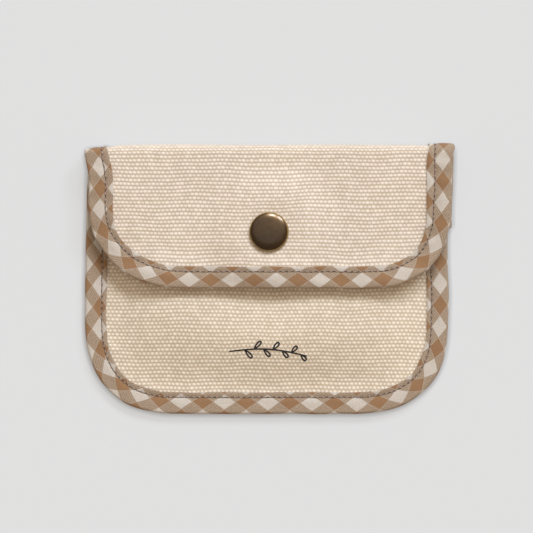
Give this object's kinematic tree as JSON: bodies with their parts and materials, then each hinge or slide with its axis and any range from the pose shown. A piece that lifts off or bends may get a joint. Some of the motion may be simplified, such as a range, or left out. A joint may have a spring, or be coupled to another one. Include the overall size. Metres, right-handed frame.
{
  "type": "flap pouch",
  "caption": "Small flat canvas pouch with a fold-over flap, contrast bias binding round its edges and a metal ring snap.",
  "frame": {"origin": "middle of the pouch in plan, half a millimetre from the middle of the bounding box because the flap is sewn 0.85 mm to the right, on the surface that the pouch lies on, back down", "axes": "+X along the fold to the right as seen from the front, +Y towards the fold, +Z out of the front"},
  "size_m": [0.1178, 0.087, 0.0141],
  "materials": {
    "canvas": "cream cotton canvas, coarse plain weave with raised bumps, matte",
    "lining": "thin natural cotton, matte",
    "gingham_tape": "brown and white gingham bias tape, cut on the diagonal, matte",
    "thread": "dark taupe sewing thread",
    "canvas_thread": "cream sewing thread",
    "antique_brass": "antiqued brass, dark brown patina worn bright on the rim, satin",
    "spring_wire": "bright spring wire"
  },
  "bodies": {
    "pouch": {"back_panel": "canvas", "back_lining": "lining", "front_lining": "lining", "front_panel": "canvas", "body_binding": "gingham_tape", "body_thread": "thread", "mouth_thread": "canvas_thread", "snap_stud": "antique_brass", "snap_stud_post": "antique_brass"},
    "spine": {"spine_panel": "canvas", "spine_lining": "lining", "spine_binding_left": "gingham_tape", "spine_binding_right": "gingham_tape"},
    "flap": {"flap_panel": "canvas", "flap_lining": "lining", "flap_binding": "gingham_tape", "flap_thread": "thread", "snap_cap": "antique_brass", "snap_cap_post": "antique_brass", "snap_socket": "antique_brass", "snap_spring": "spring_wire"}
  },
  "joints": [
    {"name": "lower_crease", "type": "hinge", "parent": "pouch", "child": "spine", "pos_m": [0, 0.04242, 0.00108], "axis": [-1, 0, 0], "range_deg": [0, 85]},
    {"name": "upper_crease", "type": "hinge", "parent": "spine", "child": "flap", "pos_m": [0, 0.04242, 0.00932], "axis": [-1, 0, 0], "range_deg": [0, 85], "deforming": ["snap_spring"]}
  ],
  "couplings": [
    {"joint": "upper_crease", "follows": "lower_crease", "ratio": 1}
  ]
}
